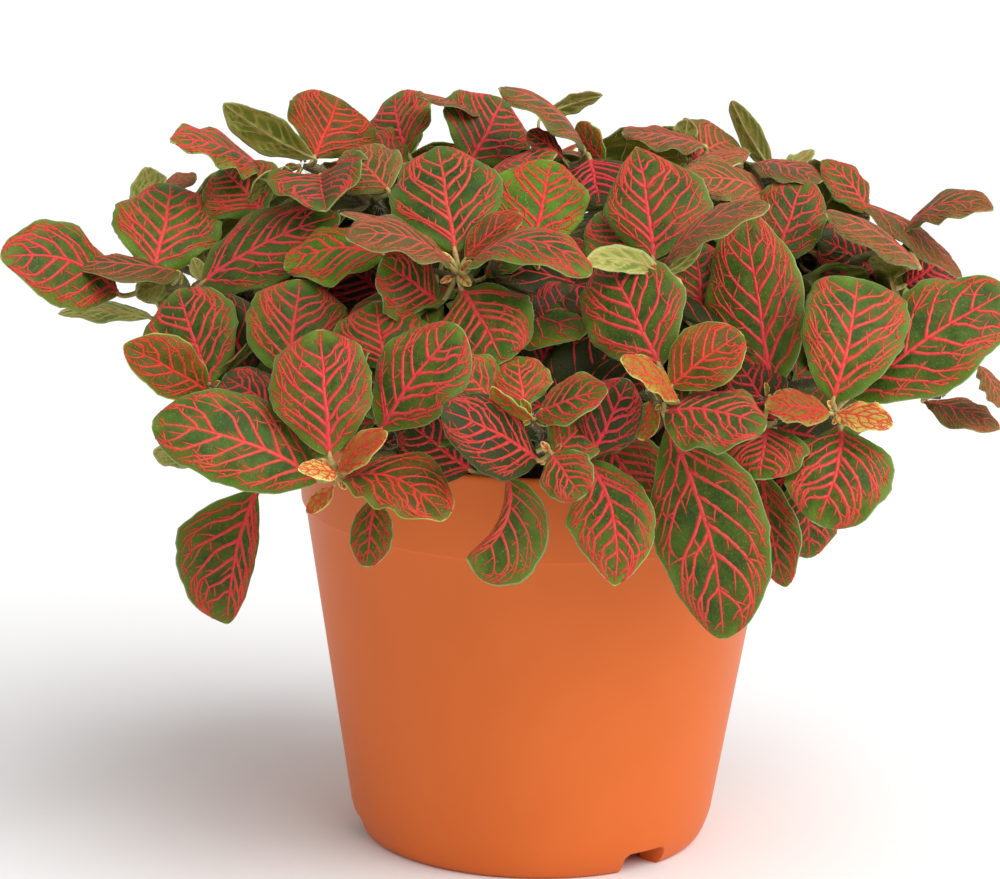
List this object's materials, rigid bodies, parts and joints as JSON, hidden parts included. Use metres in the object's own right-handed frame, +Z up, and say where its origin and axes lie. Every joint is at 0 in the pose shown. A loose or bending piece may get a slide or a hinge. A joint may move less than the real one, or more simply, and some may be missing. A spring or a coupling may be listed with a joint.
{
  "type": "potted nerve plant",
  "caption": "Leafy house plant with red-veined green leaves on thin stems, rooted in soil in a tapered plastic nursery pot with a rim band.",
  "frame": {"origin": "middle of the pot's underside, on the surface that the pot stands on", "axes": "+Z up, -Y towards the front of the plant, +X to the right seen from the front"},
  "size_m": [0.2422, 0.1936, 0.181],
  "materials": {
    "pot_plastic": "satin moulded plastic, terracotta orange",
    "potting_soil": "moist dark peat with crumbs and fibres",
    "stem_skin": "matt green-brown skin with fine hairs",
    "leaf_blade": "satin green leaf with coral red net veins"
  },
  "bodies": {
    "root": {"leaf_back_1": "leaf_blade", "leaf_back_2": "leaf_blade", "leaf_back_3": "leaf_blade", "leaf_back_left_1": "leaf_blade", "leaf_back_left_2": "leaf_blade", "leaf_back_left_3": "leaf_blade", "leaf_back_right_1": "leaf_blade", "leaf_back_right_2": "leaf_blade", "leaf_back_right_3": "leaf_blade", "leaf_far_left_1": "leaf_blade", "leaf_far_left_2": "leaf_blade", "leaf_far_left_3": "leaf_blade", "leaf_far_right_1": "leaf_blade", "leaf_far_right_2": "leaf_blade", "leaf_front_1": "leaf_blade", "leaf_front_2": "leaf_blade", "leaf_front_3": "leaf_blade", "leaf_front_left_1": "leaf_blade", "leaf_front_left_2": "leaf_blade", "leaf_front_left_3": "leaf_blade", "leaf_front_left_4": "leaf_blade", "leaf_front_right_1": "leaf_blade", "leaf_front_right_2": "leaf_blade", "leaf_front_right_3": "leaf_blade", "leaf_inner_right_1": "leaf_blade", "leaf_left_1": "leaf_blade", "leaf_left_2": "leaf_blade", "leaf_lower_right_1": "leaf_blade", "leaf_lower_right_2": "leaf_blade", "leaf_middle_1": "leaf_blade", "leaf_middle_2": "leaf_blade", "leaf_middle_3": "leaf_blade", "leaf_middle_right_1": "leaf_blade", "leaf_right_1": "leaf_blade", "leaf_right_2": "leaf_blade", "leaf_right_3": "leaf_blade", "leaf_top_1": "leaf_blade", "leaf_top_2": "leaf_blade", "leaf_upper_left_1": "leaf_blade", "leaf_upper_left_2": "leaf_blade", "leaf_upper_right_1": "leaf_blade", "pot": "pot_plastic", "soil": "potting_soil", "stem_back": "stem_skin", "stem_back_left": "stem_skin", "stem_back_right": "stem_skin", "stem_far_left": "stem_skin", "stem_far_right": "stem_skin", "stem_front": "stem_skin", "stem_front_left": "stem_skin", "stem_front_right": "stem_skin", "stem_inner_right": "stem_skin", "stem_left": "stem_skin", "stem_lower_right": "stem_skin", "stem_middle": "stem_skin", "stem_middle_right": "stem_skin", "stem_right": "stem_skin", "stem_top": "stem_skin", "stem_upper_left": "stem_skin", "stem_upper_right": "stem_skin"}
  },
  "joints": []
}
